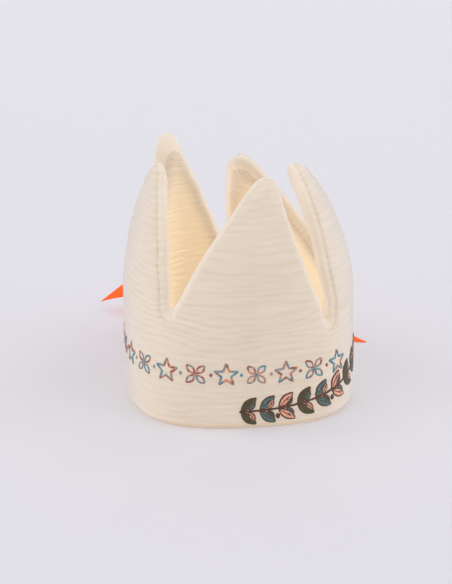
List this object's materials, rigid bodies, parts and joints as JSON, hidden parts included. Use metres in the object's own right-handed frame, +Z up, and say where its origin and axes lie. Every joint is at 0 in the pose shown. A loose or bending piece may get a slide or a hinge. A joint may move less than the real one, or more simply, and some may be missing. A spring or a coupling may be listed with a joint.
{
  "type": "birthday crown",
  "caption": "Padded cloth crown for a child: a muslin ring with soft inward-leaning points, an embroidered band, and satin ribbons that tie it at the back.",
  "frame": {"origin": "on the ring's axis at the lower edge, where the crown stands", "axes": "+Z up along the ring's axis, -Y towards the front point, +X to the viewer's right"},
  "size_m": [0.2077, 0.2523, 0.1729],
  "materials": {
    "outer_muslin": "crinkled cotton muslin, cream, matte",
    "lining_muslin": "crinkled cotton muslin, cream, matte",
    "fleece": "soft volume fleece",
    "satin_ribbon": "orange satin",
    "brown_thread": "glossy embroidery thread",
    "green_thread": "glossy embroidery thread",
    "teal_thread": "glossy embroidery thread",
    "pink_thread": "glossy embroidery thread",
    "border_thread": "variegated embroidery thread"
  },
  "bodies": {
    "root": {"outer_panel": "outer_muslin", "lining_panel": "lining_muslin", "fleece_filling": "fleece", "left_tie_ribbon": "satin_ribbon", "right_tie_ribbon": "satin_ribbon", "brown_stem_thread": "brown_thread", "green_leaf_thread": "green_thread", "teal_leaf_thread": "teal_thread", "pink_leaf_thread": "pink_thread", "border_thread": "border_thread"}
  },
  "joints": []
}
